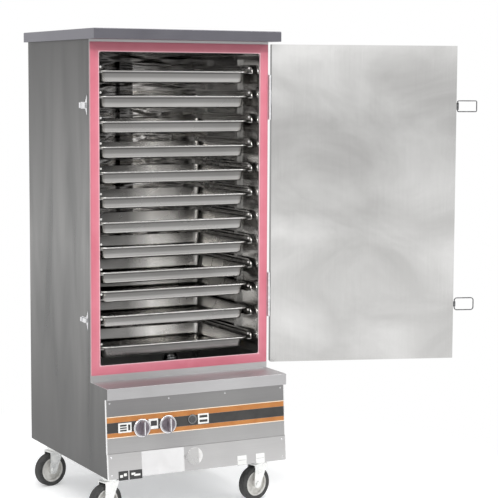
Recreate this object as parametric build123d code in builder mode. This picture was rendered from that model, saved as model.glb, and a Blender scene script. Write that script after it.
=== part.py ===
from build123d import *
from math import atan2, cos, degrees, radians, sin
import os

os.makedirs("parts", exist_ok=True)

# Body of the cabinet. The origin is on the floor under the middle of the body, the front looks along -Y.
half_width = 350.0
back_y = 300.0
front_y = -300.0
base_z = 165.0
lid_under_z = 1674.0
lid_top_z = 1710.0
sheet = 1.2
lid_side_overhang = 12.0
lid_front_overhang = 76.0
lid_back_overhang = 15.0

# Steam chamber and the flange round its mouth.
chamber_half = 314.0
chamber_floor_z = 536.0
chamber_top_z = 1632.0
chamber_back_y = 260.0
flange_bottom_z = 480.0
gasket_half = 348.0
gasket_bottom_z = 502.0
gasket_top_z = 1666.0
gasket_thickness = 4.2

# Water pan under the chamber.
pan_bottom_z = 390.0

# Gas and water pipes, each with a collar and a stub behind the back panel for its hose.
feed_pipe_radius = 9.5
stub_collar_radius = 14.0
stub_radius = 10.65
stub_length = 28.0
stub_end_y = 335.0

# Burner box in front of the cabinet.
lip_y = -450.0
lip_bottom_z = 440.0
panel_top_y = -432.0
panel_crease_y = -444.0
panel_crease_z = 252.0
access_top_y = -447.0
access_bottom_y = -456.0

# Door and its hinges.
hinge_x = 354.0
hinge_y = -307.6
door_open_angle = 161.0
door_width = 693.8
door_gap = 6.2
door_bottom_z = 502.0
door_top_z = 1666.0
door_inner = -3.1
door_outer = 36.9
barrel_radius = 5.5
hinge_pin_radius = 2.5
hinge_bottoms = (672.0, 1394.0)
hinge_length = 162.0

# Trays and their racks.
tray_count = 12
tray_pitch = 88.55
top_rod_z = 1579.5
tray_half_width = 298.5
tray_front_y = -264.0
tray_depth = 415.0
tray_height = 43.0
rim_width = 14.0
bead_radius = 3.0
rim_below_rod = 11.5
trays_on_rods = (9, 10)
rod_radius = 4.0
rod_x = 292.0
rod_front_y = -262.0
rod_back_y = 190.0
runner_inner_x = 286.5
runner_outer_x = 302.0
runner_front_y = -268.0

# Casters.
caster_x = 296.0
caster_front_y = -340.0
caster_rear_y = 195.0
wheel_radius = 62.5
wheel_width = 32.0
caster_trail = 20.0
caster_turn = 192.2


def block(x0, x1, y0, y1, z0, z1, mode=Mode.ADD):
    # Adds a box given by its two corners.
    with Locations(((x0 + x1) / 2, (y0 + y1) / 2, (z0 + z1) / 2)):
        Box(x1 - x0, y1 - y0, z1 - z0, mode=mode)


def panel_height(z, top_z, tilt):
    # Distance down a sloping panel, measured from its top edge, to a height above the floor.
    return (z - top_z) / cos(tilt)


# Folded lid with a return round its open underside.
with BuildPart() as lid:
    block(-half_width - lid_side_overhang, half_width + lid_side_overhang, front_y - lid_front_overhang,
          back_y + lid_back_overhang, lid_under_z, lid_top_z)
    fillet(lid.edges().group_by(Axis.Z)[-1], radius=2.5)
    block(-half_width - lid_side_overhang + sheet, half_width + lid_side_overhang - sheet,
          front_y - lid_front_overhang + sheet, back_y + lid_back_overhang - sheet,
          lid_under_z + sheet, lid_top_z - sheet, mode=Mode.SUBTRACT)
    block(-332, 332, -282, 282, lid_under_z, lid_under_z + sheet, mode=Mode.SUBTRACT)
lid.part.label = "lid"
export_step(lid.part, "parts/lid.step")

# Side panels, each with a return at its top.
with BuildPart() as outer_side_panels:
    for side in (-1, 1):
        outer = side * half_width
        inner = side * (half_width - sheet)
        fold = side * (half_width - 20)
        block(min(outer, inner), max(outer, inner), front_y + sheet, back_y, base_z, lid_under_z)
        block(min(outer, fold), max(outer, fold), front_y + sheet, back_y - sheet, lid_under_z - sheet,
              lid_under_z)
outer_side_panels.part.label = "outer_side_panels"
export_step(outer_side_panels.part, "parts/outer_side_panels.step")

# Back panel with hooded louvres for the flue gas and holes for the three pipes.
with BuildPart() as outer_back_panel:
    block(-half_width + sheet, half_width - sheet, back_y - sheet, back_y, base_z, lid_under_z - sheet)
    for column in (-190, 95):
        for row in range(6):
            slot_z = 372 + 18 * row
            block(column - 70, column + 70, back_y - sheet, back_y, slot_z, slot_z + 6, mode=Mode.SUBTRACT)
    for column in (-190, 95):
        for row in range(6):
            hood_z = 372 + 18 * row
            with BuildSketch(Plane.YZ.offset(column - 70)):
                with BuildLine():
                    Polyline((back_y, hood_z + 9), (back_y + 6.5, hood_z + 1), (back_y + 5.5, hood_z + 0.4),
                             (back_y, hood_z + 7), close=True)
                make_face()
            extrude(amount=140)
    with BuildSketch(Plane.XZ.offset(-back_y)):
        with Locations((290, 333)):
            Circle(11.2)
        with Locations((120, 510)):
            Circle(11.2)
        with Locations((-200, 340)):
            Circle(13.5)
    extrude(amount=sheet * 2, mode=Mode.SUBTRACT)
outer_back_panel.part.label = "outer_back_panel"
export_step(outer_back_panel.part, "parts/outer_back_panel.step")

# Chamber walls and ceiling bent from one sheet.
with BuildPart() as chamber_shell:
    block(-chamber_half - sheet, chamber_half + sheet, front_y + sheet, chamber_back_y, chamber_floor_z,
          chamber_top_z + sheet)
    fillet(chamber_shell.edges().filter_by(Axis.Y).group_by(Axis.Z)[-1], radius=9.2)
    with BuildSketch(Plane.XZ.offset(-front_y)) as chamber_section:
        with Locations((0, (chamber_floor_z - 40 + chamber_top_z) / 2)):
            RectangleRounded(2 * chamber_half, chamber_top_z - chamber_floor_z + 40, 8)
    extrude(amount=-700, mode=Mode.SUBTRACT)
chamber_shell.part.label = "chamber_shell"
export_step(chamber_shell.part, "parts/chamber_shell.step")

# Chamber back wall with the upright channel that stops the trays.
with BuildPart() as chamber_back_wall:
    block(-chamber_half - sheet, chamber_half + sheet, chamber_back_y, chamber_back_y + sheet,
          chamber_floor_z, chamber_top_z + sheet)
    block(-4, 50, chamber_back_y - 22, chamber_back_y, 562, 1604)
    block(-2.8, 48.8, chamber_back_y - 20.8, chamber_back_y, 562, 1604, mode=Mode.SUBTRACT)
chamber_back_wall.part.label = "chamber_back_wall"
export_step(chamber_back_wall.part, "parts/chamber_back_wall.step")

# Foam between the outer panels and the chamber.
with BuildPart() as body_insulation:
    block(-half_width + sheet, half_width - sheet, front_y + sheet, back_y - sheet, chamber_floor_z,
          gasket_top_z)
    block(-chamber_half - sheet, chamber_half + sheet, front_y + sheet, chamber_back_y + sheet,
          chamber_floor_z, chamber_top_z + sheet, mode=Mode.SUBTRACT)
body_insulation.part.label = "body_insulation"
export_step(body_insulation.part, "parts/body_insulation.step")

# Flange round the mouth of the chamber.
with BuildPart() as front_flange:
    with BuildSketch(Plane.XZ.offset(-front_y)):
        with Locations((0, (flange_bottom_z + lid_under_z) / 2)):
            Rectangle(2 * half_width, lid_under_z - flange_bottom_z)
        with Locations((0, (chamber_floor_z + chamber_top_z) / 2)):
            RectangleRounded(2 * chamber_half, chamber_top_z - chamber_floor_z, 8, mode=Mode.SUBTRACT)
    extrude(amount=-sheet)
front_flange.part.label = "front_flange"
export_step(front_flange.part, "parts/front_flange.step")

# Silicone gasket: a flat foot with a raised sealing bead.
with BuildPart() as door_gasket:
    with BuildSketch(Plane.XZ.offset(-front_y)):
        with Locations((0, (gasket_bottom_z + gasket_top_z) / 2)):
            RectangleRounded(2 * gasket_half, gasket_top_z - gasket_bottom_z, 5)
        with Locations((0, (chamber_floor_z + chamber_top_z) / 2)):
            RectangleRounded(2 * chamber_half, chamber_top_z - chamber_floor_z, 8, mode=Mode.SUBTRACT)
    extrude(amount=gasket_thickness - 1.2)
    with BuildSketch(Plane.XZ.offset(-front_y + gasket_thickness - 1.2)):
        with Locations((0, (gasket_bottom_z + gasket_top_z) / 2)):
            RectangleRounded(2 * gasket_half - 6, gasket_top_z - gasket_bottom_z - 6, 4)
        with Locations((0, (chamber_floor_z + chamber_top_z) / 2)):
            RectangleRounded(2 * chamber_half + 8, chamber_top_z - chamber_floor_z + 8, 9,
                             mode=Mode.SUBTRACT)
    extrude(amount=1.2)
door_gasket.part.label = "door_gasket"
export_step(door_gasket.part, "parts/door_gasket.step")

# Tray racks: two uprights, twelve angle runners and twelve guard rods on each side.
runner_nose = 28.0
with BuildPart() as tray_racks:
    for side in (-1, 1):
        for upright_y in (-140.0, 110.0):
            inner = side * (runner_outer_x + 0.05)
            outer = side * chamber_half
            block(min(inner, outer), max(inner, outer), upright_y - 10, upright_y + 10, 562, 1612)
        for level in range(tray_count):
            rod_z = top_rod_z - tray_pitch * level
            shelf_z = rod_z - rim_below_rod - 2 * bead_radius - 0.3
            inner = side * runner_inner_x
            outer = side * runner_outer_x
            block(min(inner, outer), max(inner, outer), runner_front_y, 200, shelf_z - 1.5, shelf_z)
            with BuildSketch(Plane.YZ.offset(side * (runner_outer_x - 0.75))):
                with BuildLine():
                    Line((runner_front_y, shelf_z + 0.05), (200, shelf_z + 0.05))
                    Line((200, shelf_z + 0.05), (200, shelf_z + runner_nose))
                    Line((200, shelf_z + runner_nose), (runner_front_y + runner_nose, shelf_z + runner_nose))
                    RadiusArc((runner_front_y + runner_nose, shelf_z + runner_nose),
                              (runner_front_y, shelf_z + 0.05), -runner_nose)
                make_face()
            extrude(amount=0.75, both=True)
            with Locations(Location((side * rod_x, (rod_front_y + rod_back_y) / 2, rod_z), (90, 0, 0))):
                Cylinder(rod_radius, rod_back_y - rod_front_y)
            for peg_y in (-140.0, 110.0):
                peg_inner = side * (rod_x + 1)
                peg_outer = side * (runner_outer_x - 1.55)
                with Locations(Location(((peg_inner + peg_outer) / 2, peg_y, rod_z), (0, 90, 0))):
                    Cylinder(2.5, abs(peg_outer - peg_inner))
tray_racks.part.label = "tray_racks"
export_step(tray_racks.part, "parts/tray_racks.step")

# Water pan, open to the chamber above it.
with BuildPart() as pan_hollow:
    block(-chamber_half, chamber_half, front_y + 2 * sheet, chamber_back_y, pan_bottom_z + sheet,
          chamber_floor_z)
    fillet(pan_hollow.edges().group_by(Axis.Z)[0], radius=8.8)
with BuildPart() as water_pan:
    block(-chamber_half - sheet, chamber_half + sheet, front_y + sheet, chamber_back_y + sheet, pan_bottom_z,
          chamber_floor_z)
    fillet(water_pan.edges().group_by(Axis.Z)[0], radius=10)
    add(pan_hollow.part, mode=Mode.SUBTRACT)
    with BuildSketch(Plane.XZ.offset(-chamber_back_y - sheet)):
        with Locations((120, 510)):
            Circle(feed_pipe_radius + 0.1)
    extrude(amount=10, mode=Mode.SUBTRACT)
    with BuildSketch(Plane.XY.offset(pan_bottom_z)):
        with Locations((-200, 180)):
            Circle(11)
    extrude(amount=sheet, mode=Mode.SUBTRACT)
water_pan.part.label = "water_pan"
export_step(water_pan.part, "parts/water_pan.step")

# Float valve with its inlet pipe through the back of the cabinet.
with BuildPart() as float_valve:
    with Locations(Location((120, 258.5, 510), (90, 0, 0))):
        Cylinder(feed_pipe_radius, 87)
    with Locations(Location((120, 304.0, 510), (90, 0, 0))):
        Cylinder(stub_collar_radius, 6)
    with Locations(Location((120, stub_end_y - stub_length / 2, 510), (90, 0, 0))):
        Cylinder(stub_radius, stub_length)
    with Locations(Location((120, 230, 510), (90, 0, 0))):
        Cylinder(14, 50)
    with BuildSketch(Plane.XZ.offset(-258.5)):
        with Locations((120, 510)):
            RegularPolygon(18, 6)
    extrude(amount=9)
    block(111.5, 114.6, 190, 206, 493, 514)
    block(125.4, 128.5, 190, 206, 493, 514)
    with Locations(Location((120, 197, 500), (0, 90, 0))):
        Cylinder(3, 17)
    with Locations(Location((120, stub_end_y - 10, 510), (90, 0, 0))):
        Cylinder(8, 20, mode=Mode.SUBTRACT)
float_valve.part.label = "float_valve"
export_step(float_valve.part, "parts/float_valve.step")

# Arm and ball of the float valve.
with BuildPart() as float_arm:
    with Locations(Location((120, 197, 500), (0, 90, 0))):
        Cylinder(6.5, 9.6)
    arm_fall = atan2(22, 147)
    with Locations(Location((120, 123.5, 489), (90 + degrees(arm_fall), 0, 0))):
        Cylinder(2.8, 138)
    with Locations((120, 50, 478)):
        Sphere(30)
    with Locations(Location((120, 197, 500), (0, 90, 0))):
        Cylinder(3.06, 12, mode=Mode.SUBTRACT)
float_arm.part.label = "float_arm"
export_step(float_arm.part, "parts/float_arm.step")

# Drain pipe from the floor of the pan to a cap behind the cabinet.
with BuildPart() as drain_pipe:
    with BuildLine() as drain_path:
        FilletPolyline((-200, 180, 390), (-200, 180, 340), (-200, 334, 340), radius=28)
    with BuildSketch(Plane.XY.offset(390)):
        with Locations((-200, 180)):
            Circle(13)
    sweep()
    with Locations((-200, 180, 387.5)):
        Cylinder(22, 5)
    with Locations(Location((-200, 328, 340), (90, 0, 0))):
        Cylinder(17, 18)
    with BuildSketch(Plane.XZ.offset(-344)):
        with Locations((-200, 340)):
            RegularPolygon(11, 6)
    extrude(amount=8)
drain_pipe.part.label = "drain_pipe"
export_step(drain_pipe.part, "parts/drain_pipe.step")

# Welded frame of square tube that carries the pan and the burners.
with BuildPart() as base_frame:
    for side in (-1, 1):
        inner = side * 317.0
        outer = side * 347.0
        block(min(inner, outer), max(inner, outer), -426, 296, base_z + 1.5, base_z + 31.5)
        for post_y in (-255.0, 215.0):
            block(min(inner, outer), max(inner, outer), post_y, post_y + 30, base_z + 31.5, 376)
    for cross_y in (-426.0, -300.0, 266.0):
        block(-347, 347, cross_y, cross_y + 30, base_z + 1.5, base_z + 31.5)
    for rail_y in (-255.0, 215.0):
        block(-347, 347, rail_y, rail_y + 30, 376, pan_bottom_z)
        block(-347, 347, rail_y + 3, rail_y + 27, 286, 298)
base_frame.part.label = "base_frame"
export_step(base_frame.part, "parts/base_frame.step")

# Bottom sheet with air openings for the burners.
with BuildPart() as base_pan:
    block(-half_width + sheet, half_width - sheet, -450, back_y - sheet, base_z, base_z + 1.5)
    for opening_x in (-150.0, 150.0):
        for opening_y in (-180.0, -90.0, 0.0, 90.0, 180.0):
            with BuildSketch(Plane.XY.offset(base_z)):
                with Locations((opening_x, opening_y)):
                    SlotOverall(180, 46)
            extrude(amount=1.5, mode=Mode.SUBTRACT)
base_pan.part.label = "base_pan"
export_step(base_pan.part, "parts/base_pan.step")

# Cheeks that close the sides of the burner box.
with BuildPart() as base_cheeks:
    for side in (-1, 1):
        with BuildSketch(Plane.YZ.offset(side * (half_width - sheet / 2))):
            with BuildLine():
                Polyline((front_y + sheet, 478.8), (lip_y + sheet, 478.8),
                         (lip_y + sheet, lip_bottom_z + sheet),
                         (panel_top_y + sheet, lip_bottom_z + sheet), (panel_top_y + sheet, lip_bottom_z),
                         (panel_crease_y + sheet, panel_crease_z), (access_top_y + sheet, panel_crease_z),
                         (access_bottom_y + sheet, base_z), (front_y + sheet, base_z), close=True)
            make_face()
        extrude(amount=sheet / 2, both=True)
base_cheeks.part.label = "base_cheeks"
export_step(base_cheeks.part, "parts/base_cheeks.step")

# Folded cover over the burner box, with a lip at its front.
with BuildPart() as base_ledge:
    with BuildSketch(Plane.YZ.offset(-half_width)):
        with BuildLine():
            Polyline((front_y, flange_bottom_z), (lip_y, flange_bottom_z), (lip_y, lip_bottom_z),
                     (panel_top_y + sheet, lip_bottom_z), (panel_top_y + sheet, lip_bottom_z + sheet),
                     (lip_y + sheet, lip_bottom_z + sheet), (lip_y + sheet, flange_bottom_z - sheet),
                     (front_y, flange_bottom_z - sheet), close=True)
        make_face()
    extrude(amount=2 * half_width)
    lip_edges = base_ledge.edges().filter_by(Axis.X).filter_by_position(Axis.Y, lip_y - 0.1, lip_y + 0.1)
    fillet(lip_edges, radius=1.1)
base_ledge.part.label = "base_ledge"
export_step(base_ledge.part, "parts/base_ledge.step")

# Sloping control panel, with holes for the two valve stems and the igniter.
control_tilt = atan2(panel_top_y - panel_crease_y, lip_bottom_z - panel_crease_z)
control_plane = Plane(origin=(0, panel_top_y, lip_bottom_z), x_dir=(1, 0, 0),
                      z_dir=(0, -cos(control_tilt), sin(control_tilt)))
control_length = (lip_bottom_z - panel_crease_z) / cos(control_tilt)
knob_centres = ((-218.0, 333.0), (-119.0, 337.0))
igniter_centre = (-22.0, 345.0)
with BuildPart() as control_panel:
    with BuildSketch(control_plane):
        with Locations((0, -control_length / 2)):
            Rectangle(2 * half_width, control_length)
        for knob_x, knob_z in knob_centres:
            with Locations((knob_x, panel_height(knob_z, lip_bottom_z, control_tilt))):
                Circle(5.2, mode=Mode.SUBTRACT)
        with Locations((igniter_centre[0], panel_height(igniter_centre[1], lip_bottom_z, control_tilt))):
            Circle(14.4, mode=Mode.SUBTRACT)
    extrude(amount=-sheet)
    block(-half_width + sheet, half_width - sheet, -443.0, -428, panel_crease_z + 0.3, panel_crease_z + 1.5)
control_panel.part.label = "control_panel"
export_step(control_panel.part, "parts/control_panel.step")

# Lower access panel with the round lighting hole.
access_tilt = atan2(access_top_y - access_bottom_y, panel_crease_z - base_z)
access_plane = Plane(origin=(0, access_top_y, panel_crease_z), x_dir=(1, 0, 0),
                     z_dir=(0, -cos(access_tilt), sin(access_tilt)))
access_length = (panel_crease_z - base_z) / cos(access_tilt)
lighting_hole = (-17.0, 215.0)
cover_rivet = (-50.0, 215.0)
with BuildPart() as access_panel:
    with BuildSketch(access_plane):
        with Locations((0, -access_length / 2)):
            Rectangle(2 * half_width, access_length)
        with Locations((lighting_hole[0], panel_height(lighting_hole[1], panel_crease_z, access_tilt))):
            Circle(22, mode=Mode.SUBTRACT)
    extrude(amount=-sheet)
    block(-half_width + sheet, half_width - sheet, -446.0, -432, panel_crease_z - 2.2,
          panel_crease_z - 1)
    with BuildSketch(access_plane):
        with Locations((cover_rivet[0], panel_height(cover_rivet[1], panel_crease_z, access_tilt))):
            Circle(3)
    extrude(amount=2.6)
    with BuildSketch(access_plane.offset(2.6)):
        with Locations((cover_rivet[0], panel_height(cover_rivet[1], panel_crease_z, access_tilt))):
            Circle(5.5)
    extrude(amount=2)
access_panel.part.label = "access_panel"
export_step(access_panel.part, "parts/access_panel.step")

# Round cover that swings about its rivet in front of the lighting hole.
with BuildPart() as lighting_hole_cover:
    with BuildSketch(access_plane.offset(0.4)):
        rivet_v = panel_height(cover_rivet[1], panel_crease_z, access_tilt)
        hole_v = panel_height(lighting_hole[1], panel_crease_z, access_tilt)
        with Locations((lighting_hole[0], hole_v)):
            Circle(30)
        with Locations(((cover_rivet[0] + lighting_hole[0]) / 2, hole_v)):
            Rectangle(lighting_hole[0] - cover_rivet[0], 18)
        with Locations((cover_rivet[0], rivet_v)):
            Circle(9)
        with Locations((cover_rivet[0], rivet_v)):
            Circle(3.06, mode=Mode.SUBTRACT)
    extrude(amount=1.8)
    fillet(lighting_hole_cover.edges().filter_by(GeomType.CIRCLE).group_by(SortBy.RADIUS)[-1], radius=0.7)
    with BuildSketch(access_plane.offset(2.2)):
        with Locations((lighting_hole[0] + 21, hole_v)):
            SlotOverall(22, 6, rotation=90)
    extrude(amount=5)
lighting_hole_cover.part.label = "lighting_hole_cover"
export_step(lighting_hole_cover.part, "parts/lighting_hole_cover.step")

# Two bar burners with slotted tops and flared air inlets.
with BuildPart() as gas_burners:
    for burner_x in (-150.0, 150.0):
        block(burner_x - 30, burner_x + 30, -235, 235, 298, 334)
        for slot_row in range(20):
            slot_y = -210 + 22 * slot_row
            block(burner_x - 20, burner_x + 20, slot_y, slot_y + 3, 328, 334, mode=Mode.SUBTRACT)
        with Locations(Location((burner_x, -278, 316), (90, 0, 0))):
            Cylinder(14, 90)
        with Locations(Location((burner_x, -331, 316), (90, 0, 0))):
            Cone(14, 21, 20)
        with Locations(Location((burner_x, -326, 316), (90, 0, 0))):
            Cylinder(11.5, 40, mode=Mode.SUBTRACT)
gas_burners.part.label = "gas_burners"
export_step(gas_burners.part, "parts/gas_burners.step")

# Gas manifold: supply pipe from the back, two valves with stems, and a tube to each burner.
with BuildPart() as gas_manifold:
    with BuildLine() as supply_path:
        FilletPolyline((-250, -386, 333), (290, -386, 333), (290, 302, 333), radius=26)
    with BuildSketch(Plane.YZ.offset(-250)):
        with Locations((-386, 333)):
            Circle(feed_pipe_radius)
    sweep()
    with Locations(Location((290, 304.0, 333), (90, 0, 0))):
        Cylinder(stub_collar_radius, 6)
    with Locations(Location((290, stub_end_y - stub_length / 2, 333), (90, 0, 0))):
        Cylinder(stub_radius, stub_length)
    for knob_x, knob_z in knob_centres:
        knob_v = panel_height(knob_z, lip_bottom_z, control_tilt)
        with BuildSketch(control_plane.offset(-8)):
            with Locations((knob_x, knob_v)):
                Circle(13)
        extrude(amount=-52)
        with BuildSketch(control_plane.offset(-8)):
            with Locations((knob_x, knob_v)):
                Circle(4)
        extrude(amount=24)
    with BuildLine() as left_tube:
        FilletPolyline((-218, -405, 330), (-218, -405, 282), (-150, -405, 282), (-150, -405, 316),
                       (-150, -350, 316), radius=10)
    with BuildSketch(Plane.XY.offset(330)):
        with Locations((-218, -405)):
            Circle(4)
    sweep(path=left_tube.line)
    with BuildLine() as right_tube:
        FilletPolyline((-119, -405, 330), (-119, -405, 270), (150, -405, 270), (150, -405, 316),
                       (150, -350, 316), radius=10)
    with BuildSketch(Plane.XY.offset(330)):
        with Locations((-119, -405)):
            Circle(4)
    sweep(path=right_tube.line)
    with Locations(Location((290, stub_end_y - 10, 333), (90, 0, 0))):
        Cylinder(8, 20, mode=Mode.SUBTRACT)
gas_manifold.part.label = "gas_manifold"
export_step(gas_manifold.part, "parts/gas_manifold.step")

# Gas knobs: a chamfered skirt with a raised grip across it.
for (knob_x, knob_z), knob_name in zip(knob_centres, ("gas_knob_left", "gas_knob_right")):
    knob_v = panel_height(knob_z, lip_bottom_z, control_tilt)
    with BuildPart() as knob:
        with BuildSketch(control_plane.offset(0.8)):
            with Locations((knob_x, knob_v)):
                Circle(32)
        extrude(amount=10)
        fillet(knob.edges().filter_by(GeomType.CIRCLE).sort_by(Axis.Y)[0], radius=3)
        with BuildSketch(control_plane.offset(10.8)):
            with Locations((knob_x, knob_v)):
                Circle(25)
        extrude(amount=4, taper=12)
        with BuildSketch(control_plane.offset(10.8)):
            with Locations((knob_x, knob_v)):
                SlotOverall(54, 17, rotation=90)
        extrude(amount=22, taper=5)
        with BuildSketch(control_plane.offset(0.8)):
            with Locations((knob_x, knob_v)):
                Circle(4.06)
        extrude(amount=18, mode=Mode.SUBTRACT)
    knob.part.label = knob_name
    export_step(knob.part, f"parts/{knob_name}.step")

# Igniter: barrel through the panel with a bezel, and its push button.
igniter_v = panel_height(igniter_centre[1], lip_bottom_z, control_tilt)
with BuildPart() as igniter_body:
    with BuildSketch(control_plane):
        with Locations((igniter_centre[0], igniter_v)):
            Circle(14)
    extrude(amount=-36)
    with BuildSketch(control_plane):
        with Locations((igniter_centre[0], igniter_v)):
            Circle(17)
    extrude(amount=3.5)
    with BuildSketch(control_plane.offset(3.5)):
        with Locations((igniter_centre[0], igniter_v)):
            Circle(12.3)
    extrude(amount=-12.5, mode=Mode.SUBTRACT)
igniter_body.part.label = "igniter_body"
export_step(igniter_body.part, "parts/igniter_body.step")

with BuildPart() as igniter_button:
    with BuildSketch(control_plane.offset(-4)):
        with Locations((igniter_centre[0], igniter_v)):
            Circle(12)
    extrude(amount=11)
    fillet(igniter_button.edges().filter_by(GeomType.CIRCLE).sort_by(Axis.Y)[0], radius=2)
igniter_button.part.label = "igniter_button"
export_step(igniter_button.part, "parts/igniter_button.step")

# Keepers on the left side panel: a pointed plate with a block in front of and behind the loop.
keeper_heights = ((1411.0, 1435.0, 1458.0, 1485.0), (660.0, 687.0, 706.0, 732.0))
keeper_front = -284.0
keeper_back = -226.0
with BuildPart() as latch_keepers:
    for tip_low, low, high, tip_high in keeper_heights:
        with BuildSketch(Plane.YZ.offset(-half_width - 2)):
            with BuildLine():
                Polyline((keeper_front, tip_low), (keeper_front + 16, low), (keeper_back, low),
                         (keeper_back, high), (keeper_front + 16, high), (keeper_front, tip_high),
                         close=True)
            make_face()
        extrude(amount=2)
        block(-half_width - 12, -half_width - 2, keeper_front + 2, -257, low + 2, high - 2)
        block(-half_width - 9, -half_width - 2, -244, keeper_back - 2, low + 2, high - 2)
latch_keepers.part.label = "latch_keepers"
export_step(latch_keepers.part, "parts/latch_keepers.step")

# Hinge leaves of the cabinet with their knuckles and pins.
knuckle = hinge_length / 3
with BuildPart() as hinge_body_leaves:
    for hinge_z in hinge_bottoms:
        block(half_width, half_width + 2, -302, -258, hinge_z, hinge_z + hinge_length)
        for offset_z in (0.0, 2 * knuckle + 0.3):
            block(half_width, half_width + 2, -305.5, -302, hinge_z + offset_z,
                  hinge_z + offset_z + knuckle - 0.3)
            with Locations((hinge_x, hinge_y, hinge_z + offset_z + (knuckle - 0.3) / 2)):
                Cylinder(barrel_radius, knuckle - 0.3)
        with Locations((hinge_x, hinge_y, hinge_z + hinge_length / 2)):
            Cylinder(hinge_pin_radius, hinge_length)
hinge_body_leaves.part.label = "hinge_body_leaves"
export_step(hinge_body_leaves.part, "parts/hinge_body_leaves.step")

# The door is drawn in its own plane: X runs from the hinge to the free edge, Y to the outer face.
turn = radians(180 + door_open_angle)
door_plane = Plane(origin=(hinge_x, hinge_y, 0), x_dir=(cos(turn), sin(turn), 0), z_dir=(0, 0, 1))
door_edge = door_gap + door_width

with BuildPart(door_plane) as door_outer_panel:
    block(door_gap, door_edge, door_inner + sheet, door_outer, door_bottom_z, door_top_z)
    fillet(door_outer_panel.edges().filter_by(Axis.Z).sort_by(Axis.Y)[0], radius=3)
    block(door_gap + sheet, door_edge - sheet, door_inner + sheet, door_outer - sheet,
          door_bottom_z + sheet, door_top_z - sheet, mode=Mode.SUBTRACT)
door_outer_panel.part.label = "door_outer_panel"
export_step(door_outer_panel.part, "parts/door_outer_panel.step")

with BuildPart(door_plane) as door_inner_panel:
    block(door_gap, door_edge, door_inner, door_inner + sheet, door_bottom_z, door_top_z)
door_inner_panel.part.label = "door_inner_panel"
export_step(door_inner_panel.part, "parts/door_inner_panel.step")

with BuildPart(door_plane) as door_insulation:
    block(door_gap + 2, door_edge - 2, door_inner + sheet, door_outer - 2 * sheet, door_bottom_z + 2,
          door_top_z - 2)
door_insulation.part.label = "door_insulation"
export_step(door_insulation.part, "parts/door_insulation.step")

with BuildPart(door_plane) as hinge_door_leaves:
    for hinge_z in hinge_bottoms:
        middle = hinge_z + hinge_length / 2
        block(4.2, door_gap, 4.2, 36, hinge_z, hinge_z + hinge_length)
        block(4.2, door_gap, 0, 4.2, middle - knuckle / 2 + 0.3, middle + knuckle / 2 - 0.3)
        with Locations((0, 0, middle)):
            Cylinder(barrel_radius, knuckle - 0.6)
        with Locations((0, 0, middle)):
            Cylinder(hinge_pin_radius + 0.06, knuckle, mode=Mode.SUBTRACT)
hinge_door_leaves.part.label = "hinge_door_leaves"
export_step(hinge_door_leaves.part, "parts/hinge_door_leaves.step")

# Latches: a bracket on the free edge of the door holds a wire loop that turns about an upright axis.
latch_axis_s = 710.0
latch_axis_t = 17.0
wire_radius = 2.0
loop_length = 73.0
upper_loop = (1424.0, 1464.0, 4.0)
lower_loop = (681.0, 726.0, 10.0)
with BuildPart(door_plane) as latch_brackets:
    for loop_low, loop_high, corner in (upper_loop, lower_loop):
        middle = (loop_low + loop_high) / 2
        barrel = loop_high - loop_low - 2 * corner - 6
        block(door_edge, door_edge + 1.5, 3, 31, middle - 30, middle + 30)
        block(door_edge, latch_axis_s, latch_axis_t - 4, latch_axis_t + 4, middle - barrel / 2,
              middle + barrel / 2)
        with Locations((latch_axis_s, latch_axis_t, middle)):
            Cylinder(4.5, barrel)
        with Locations((latch_axis_s, latch_axis_t, middle)):
            Cylinder(wire_radius + 0.06, barrel + 2, mode=Mode.SUBTRACT)
latch_brackets.part.label = "latch_brackets"
export_step(latch_brackets.part, "parts/latch_brackets.step")

turn_x = Vector(cos(turn), sin(turn), 0)
turn_y = Vector(-sin(turn), cos(turn), 0)
latch_origin = Vector(hinge_x, hinge_y, 0) + turn_x * latch_axis_s + turn_y * latch_axis_t
for loop_size, loop_name in ((upper_loop, "latch_loop_upper"), (lower_loop, "latch_loop_lower")):
    loop_low, loop_high, corner = loop_size
    loop_plane = Plane(origin=latch_origin + Vector(0, 0, loop_low), x_dir=turn_x, z_dir=turn_y * -1)
    loop_height = loop_high - loop_low
    with BuildPart() as latch_loop:
        with BuildLine(loop_plane) as loop_path:
            FilletPolyline((0, 0), (0, loop_height), (loop_length, loop_height), (loop_length, 0),
                           radius=corner, close=True)
        with BuildSketch(Plane(origin=loop_path.line @ 0, z_dir=loop_path.line % 0)):
            Circle(wire_radius)
        sweep(path=loop_path.line)
    latch_loop.part.label = loop_name
    export_step(latch_loop.part, f"parts/{loop_name}.step")

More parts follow.
